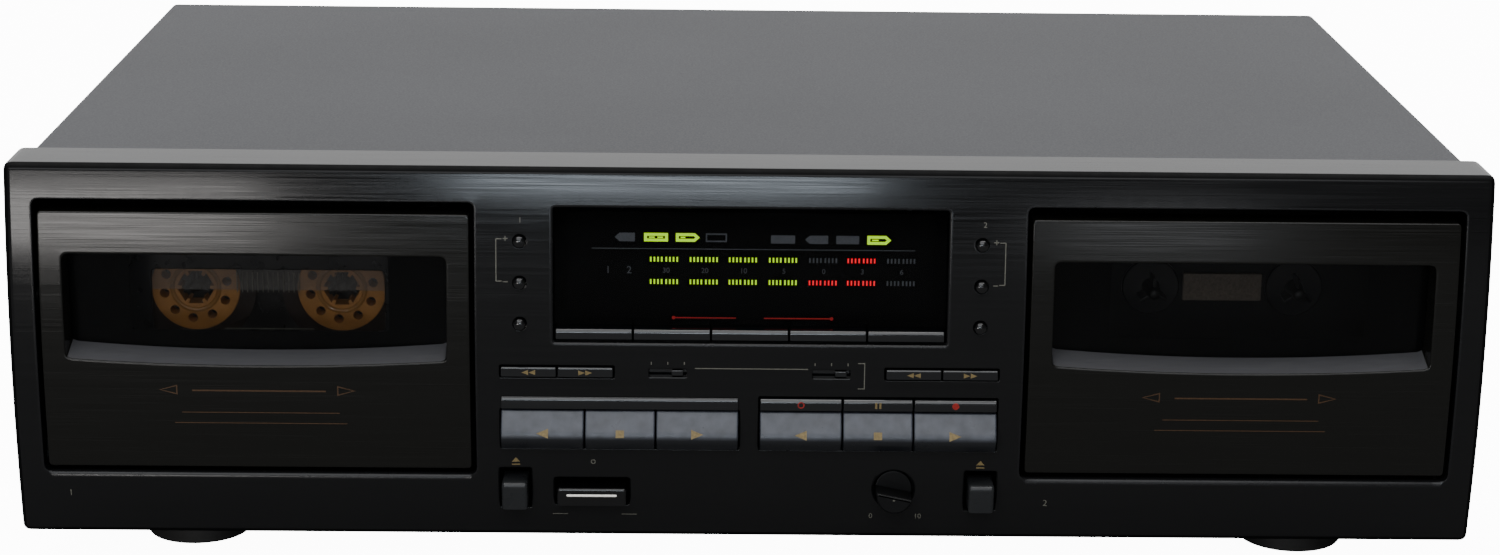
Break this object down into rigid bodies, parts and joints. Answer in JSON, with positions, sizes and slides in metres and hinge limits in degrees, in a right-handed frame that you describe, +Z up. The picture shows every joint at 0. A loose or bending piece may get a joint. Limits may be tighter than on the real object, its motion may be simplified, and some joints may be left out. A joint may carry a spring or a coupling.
{
  "type": "twin cassette deck",
  "caption": "Full-width twin cassette deck with a convex black front, tilting cassette doors, level display, push keys, slide switches and a record level knob.",
  "frame": {"origin": "centre of the object's box on the surface that its feet stand on", "axes": "+X to the right seen from the front, +Y rearward, +Z up; the front faces -Y"},
  "size_m": [0.42, 0.2614, 0.1217],
  "materials": {
    "bezel_black": "satin black moulding",
    "door_black": "black with fine brushed streaks",
    "cover_charcoal": "satin charcoal paint",
    "zinc_steel": "zinc-plated sheet",
    "foot_black": "matt",
    "smoked_window": "polished, smoked",
    "key_grey": "satin blue-grey",
    "strip_grey": "satin",
    "button_black": "polished black",
    "board_green": "solder resist",
    "transformer_core": "varnished laminations",
    "cassette_smoke": "smoked clear shell",
    "reel_orange": "satin",
    "nylon_black": "satin",
    "flywheel_brass": "turned"
  },
  "bodies": {
    "root": {"front_panel": "bezel_black", "top_cover": "cover_charcoal", "chassis_base": "zinc_steel", "rear_panel": "cover_charcoal", "mains_inlet": "button_black", "foot_front_left": "foot_black", "foot_front_right": "foot_black", "foot_rear_left": "foot_black", "foot_rear_right": "foot_black", "main_board": "board_green", "power_transformer": "transformer_core", "display_window": "smoked_window", "display_module": "board_green", "transport_plate_1": "zinc_steel", "transport_plate_2": "zinc_steel"},
    "door_1": {"door_panel_1": "door_black", "door_window_1": "smoked_window", "cassette_holder_1": "nylon_black", "cassette_shell": "cassette_smoke"},
    "door_2": {"door_panel_2": "door_black", "door_window_2": "smoked_window", "cassette_holder_2": "nylon_black"},
    "reel_spindle_1_left": {"reel_spindle_1_left": "nylon_black"},
    "reel_spindle_1_right": {"reel_spindle_1_right": "nylon_black"},
    "reel_spindle_2_left": {"reel_spindle_2_left": "nylon_black"},
    "reel_spindle_2_right": {"reel_spindle_2_right": "nylon_black"},
    "cassette_reel_left": {"cassette_reel_left": "reel_orange"},
    "cassette_reel_right": {"cassette_reel_right": "reel_orange"},
    "capstan_flywheel_1": {"capstan_flywheel_1": "flywheel_brass"},
    "capstan_flywheel_2": {"capstan_flywheel_2": "flywheel_brass"},
    "record_level_knob": {"record_level_knob": "button_black"},
    "noise_reduction_switch": {"noise_reduction_switch": "button_black"},
    "reverse_mode_switch": {"reverse_mode_switch": "button_black"},
    "power_button": {"power_button": "button_black"},
    "eject_button_1": {"eject_button_1": "key_grey"},
    "eject_button_2": {"eject_button_2": "key_grey"},
    "reverse_play_key_1": {"reverse_play_key_1": "key_grey"},
    "stop_key_1": {"stop_key_1": "key_grey"},
    "play_key_1": {"play_key_1": "key_grey"},
    "reverse_play_key_2": {"reverse_play_key_2": "key_grey"},
    "stop_key_2": {"stop_key_2": "key_grey"},
    "play_key_2": {"play_key_2": "key_grey"},
    "record_mute_key": {"record_mute_key": "strip_grey"},
    "pause_key": {"pause_key": "strip_grey"},
    "record_key": {"record_key": "strip_grey"},
    "rewind_key_1": {"rewind_key_1": "strip_grey"},
    "forward_key_1": {"forward_key_1": "strip_grey"},
    "rewind_key_2": {"rewind_key_2": "strip_grey"},
    "forward_key_2": {"forward_key_2": "strip_grey"},
    "function_key_1": {"function_key_1": "strip_grey"},
    "function_key_2": {"function_key_2": "strip_grey"},
    "function_key_3": {"function_key_3": "strip_grey"},
    "function_key_4": {"function_key_4": "strip_grey"},
    "function_key_5": {"function_key_5": "strip_grey"},
    "search_up_button_1": {"search_up_button_1": "button_black"},
    "search_down_button_1": {"search_down_button_1": "button_black"},
    "auto_play_button_1": {"auto_play_button_1": "button_black"},
    "search_up_button_2": {"search_up_button_2": "button_black"},
    "search_down_button_2": {"search_down_button_2": "button_black"},
    "auto_play_button_2": {"auto_play_button_2": "button_black"}
  },
  "joints": [
    {"name": "door_1_tilt", "type": "hinge", "parent": "root", "child": "door_1", "pos_m": [-0.1401, -0.10785, 0.019], "axis": [1, 0, 0], "range_deg": [0, 25]},
    {"name": "door_2_tilt", "type": "hinge", "parent": "root", "child": "door_2", "pos_m": [0.1401, -0.10785, 0.019], "axis": [1, 0, 0], "range_deg": [0, 25]},
    {"name": "spindle_1_left_spin", "type": "hinge", "parent": "root", "child": "reel_spindle_1_left", "pos_m": [-0.16135, -0.08965, 0.0792], "axis": [0, 1, 0], "continuous": true},
    {"name": "spindle_1_right_spin", "type": "hinge", "parent": "root", "child": "reel_spindle_1_right", "pos_m": [-0.11885, -0.08965, 0.0792], "axis": [0, 1, 0], "continuous": true},
    {"name": "spindle_2_left_spin", "type": "hinge", "parent": "root", "child": "reel_spindle_2_left", "pos_m": [0.11885, -0.08965, 0.0792], "axis": [0, 1, 0], "continuous": true},
    {"name": "spindle_2_right_spin", "type": "hinge", "parent": "root", "child": "reel_spindle_2_right", "pos_m": [0.16135, -0.08965, 0.0792], "axis": [0, 1, 0], "continuous": true},
    {"name": "reel_left_spin", "type": "hinge", "parent": "door_1", "child": "cassette_reel_left", "pos_m": [-0.16135, -0.0962, 0.0792], "axis": [0, 1, 0], "continuous": true},
    {"name": "reel_right_spin", "type": "hinge", "parent": "door_1", "child": "cassette_reel_right", "pos_m": [-0.11885, -0.0962, 0.0792], "axis": [0, 1, 0], "continuous": true},
    {"name": "flywheel_1_spin", "type": "hinge", "parent": "root", "child": "capstan_flywheel_1", "pos_m": [-0.1186, -0.08505, 0.0495], "axis": [0, 1, 0], "continuous": true},
    {"name": "flywheel_2_spin", "type": "hinge", "parent": "root", "child": "capstan_flywheel_2", "pos_m": [0.1616, -0.08505, 0.0495], "axis": [0, 1, 0], "continuous": true},
    {"name": "record_level_turn", "type": "hinge", "parent": "root", "child": "record_level_knob", "pos_m": [0.042, -0.12415, 0.0275], "axis": [0, 1, 0], "range_deg": [-150, 150]},
    {"name": "noise_reduction_slide", "type": "slide", "parent": "root", "child": "noise_reduction_switch", "axis": [1, 0, 0], "range_m": [-0.0054, 0]},
    {"name": "reverse_mode_slide", "type": "slide", "parent": "root", "child": "reverse_mode_switch", "axis": [1, 0, 0], "range_m": [-0.0054, 0]},
    {"name": "power_press", "type": "slide", "parent": "root", "child": "power_button", "axis": [0, 1, 0], "range_m": [0, 0.0025], "stiffness_N_per_m": 300},
    {"name": "eject_1_press", "type": "slide", "parent": "root", "child": "eject_button_1", "axis": [0, 1, 0], "range_m": [0, 0.003], "stiffness_N_per_m": 300},
    {"name": "eject_2_press", "type": "slide", "parent": "root", "child": "eject_button_2", "axis": [0, 1, 0], "range_m": [0, 0.003], "stiffness_N_per_m": 300},
    {"name": "reverse_play_1_press", "type": "slide", "parent": "root", "child": "reverse_play_key_1", "axis": [0, 1, 0], "range_m": [0, 0.0015], "stiffness_N_per_m": 400},
    {"name": "stop_1_press", "type": "slide", "parent": "root", "child": "stop_key_1", "axis": [0, 1, 0], "range_m": [0, 0.0015], "stiffness_N_per_m": 400},
    {"name": "play_1_press", "type": "slide", "parent": "root", "child": "play_key_1", "axis": [0, 1, 0], "range_m": [0, 0.0015], "stiffness_N_per_m": 400},
    {"name": "reverse_play_2_press", "type": "slide", "parent": "root", "child": "reverse_play_key_2", "axis": [0, 1, 0], "range_m": [0, 0.0015], "stiffness_N_per_m": 400},
    {"name": "stop_2_press", "type": "slide", "parent": "root", "child": "stop_key_2", "axis": [0, 1, 0], "range_m": [0, 0.0015], "stiffness_N_per_m": 400},
    {"name": "play_2_press", "type": "slide", "parent": "root", "child": "play_key_2", "axis": [0, 1, 0], "range_m": [0, 0.0015], "stiffness_N_per_m": 400},
    {"name": "record_mute_press", "type": "slide", "parent": "root", "child": "record_mute_key", "axis": [0, 1, 0], "range_m": [0, 0.0015], "stiffness_N_per_m": 400},
    {"name": "pause_press", "type": "slide", "parent": "root", "child": "pause_key", "axis": [0, 1, 0], "range_m": [0, 0.0015], "stiffness_N_per_m": 400},
    {"name": "record_press", "type": "slide", "parent": "root", "child": "record_key", "axis": [0, 1, 0], "range_m": [0, 0.0015], "stiffness_N_per_m": 400},
    {"name": "rewind_1_press", "type": "slide", "parent": "root", "child": "rewind_key_1", "axis": [0, 1, 0], "range_m": [0, 0.001], "stiffness_N_per_m": 400},
    {"name": "forward_1_press", "type": "slide", "parent": "root", "child": "forward_key_1", "axis": [0, 1, 0], "range_m": [0, 0.001], "stiffness_N_per_m": 400},
    {"name": "rewind_2_press", "type": "slide", "parent": "root", "child": "rewind_key_2", "axis": [0, 1, 0], "range_m": [0, 0.001], "stiffness_N_per_m": 400},
    {"name": "forward_2_press", "type": "slide", "parent": "root", "child": "forward_key_2", "axis": [0, 1, 0], "range_m": [0, 0.001], "stiffness_N_per_m": 400},
    {"name": "function_1_press", "type": "slide", "parent": "root", "child": "function_key_1", "axis": [0, 1, 0], "range_m": [0, 0.001], "stiffness_N_per_m": 400},
    {"name": "function_2_press", "type": "slide", "parent": "root", "child": "function_key_2", "axis": [0, 1, 0], "range_m": [0, 0.001], "stiffness_N_per_m": 400},
    {"name": "function_3_press", "type": "slide", "parent": "root", "child": "function_key_3", "axis": [0, 1, 0], "range_m": [0, 0.001], "stiffness_N_per_m": 400},
    {"name": "function_4_press", "type": "slide", "parent": "root", "child": "function_key_4", "axis": [0, 1, 0], "range_m": [0, 0.001], "stiffness_N_per_m": 400},
    {"name": "function_5_press", "type": "slide", "parent": "root", "child": "function_key_5", "axis": [0, 1, 0], "range_m": [0, 0.001], "stiffness_N_per_m": 400},
    {"name": "search_up_1_press", "type": "slide", "parent": "root", "child": "search_up_button_1", "axis": [0, 1, 0], "range_m": [0, 0.0008], "stiffness_N_per_m": 400},
    {"name": "search_down_1_press", "type": "slide", "parent": "root", "child": "search_down_button_1", "axis": [0, 1, 0], "range_m": [0, 0.0008], "stiffness_N_per_m": 400},
    {"name": "auto_play_1_press", "type": "slide", "parent": "root", "child": "auto_play_button_1", "axis": [0, 1, 0], "range_m": [0, 0.0008], "stiffness_N_per_m": 400},
    {"name": "search_up_2_press", "type": "slide", "parent": "root", "child": "search_up_button_2", "axis": [0, 1, 0], "range_m": [0, 0.0008], "stiffness_N_per_m": 400},
    {"name": "search_down_2_press", "type": "slide", "parent": "root", "child": "search_down_button_2", "axis": [0, 1, 0], "range_m": [0, 0.0008], "stiffness_N_per_m": 400},
    {"name": "auto_play_2_press", "type": "slide", "parent": "root", "child": "auto_play_button_2", "axis": [0, 1, 0], "range_m": [0, 0.0008], "stiffness_N_per_m": 400}
  ],
  "couplings": [
    {"joint": "reel_left_spin", "follows": "spindle_1_left_spin", "ratio": 1},
    {"joint": "reel_right_spin", "follows": "spindle_1_right_spin", "ratio": 1}
  ]
}
